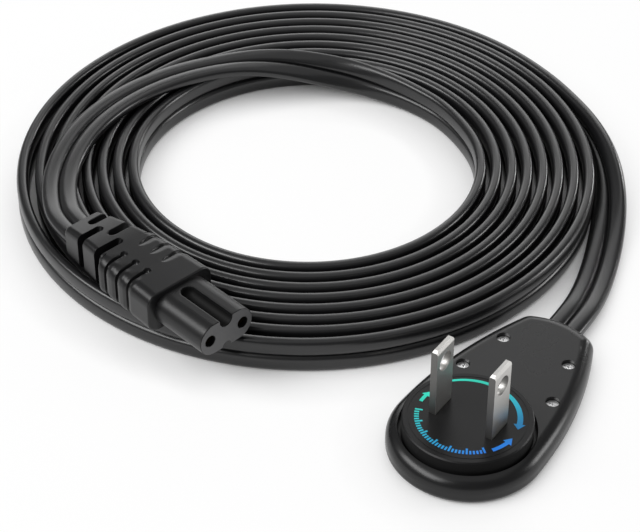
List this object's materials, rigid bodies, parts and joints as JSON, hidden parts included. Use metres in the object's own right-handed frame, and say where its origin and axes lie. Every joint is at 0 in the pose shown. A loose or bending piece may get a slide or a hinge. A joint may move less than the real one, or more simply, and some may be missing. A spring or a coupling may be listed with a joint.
{
  "type": "flat low profile plug",
  "caption": "Flat low profile mains plug whose blades stand in a turning disc, with a flat twin lead wound in a coil and a two-hole connector on its far end.",
  "frame": {"origin": "on the disc's turning axis, at the plug's flat back face", "axes": "+Z along the blades, away from the back face; +Y towards the lead's end of the plug; +X along the row of the two blades"},
  "size_m": [0.157, 0.1398, 0.0239],
  "materials": {
    "housing_plastic": "fine satin moulded",
    "disc_plastic": "fine satin moulded",
    "lead_sheath": "smooth satin",
    "connector_plastic": "satin moulded",
    "blade_metal": "nickel plated, lightly brushed",
    "screw_steel": "zinc plated",
    "contact_brass": "bright",
    "strand_copper": "bright copper",
    "carrier_plastic": "plain moulded"
  },
  "bodies": {
    "housing": {"front_cover": "housing_plastic", "back_cover": "housing_plastic", "cover_screws": "screw_steel", "lead_clamp": "screw_steel", "clamp_screws": "screw_steel", "outer_contact_spring": "contact_brass", "inner_contact_spring": "contact_brass", "live_core": "lead_sheath", "neutral_core": "lead_sheath", "live_strands": "strand_copper", "neutral_strands": "strand_copper", "cord_lead": "lead_sheath", "cord_coil": "lead_sheath", "cord_tail": "lead_sheath", "connector_insert": "connector_plastic", "connector_overmould": "connector_plastic", "connector_contact_left": "contact_brass", "connector_contact_right": "contact_brass"},
    "rotor": {"rotor_disc": "disc_plastic", "blade_left": "blade_metal", "blade_right": "blade_metal", "outer_slip_ring": "contact_brass", "inner_slip_ring": "contact_brass", "ring_carrier": "carrier_plastic", "carrier_screws": "screw_steel"}
  },
  "joints": [
    {"name": "disc_spin", "type": "hinge", "parent": "housing", "child": "rotor", "pos_m": [0, 0, 0.005], "axis": [0, 0, 1], "continuous": true}
  ]
}
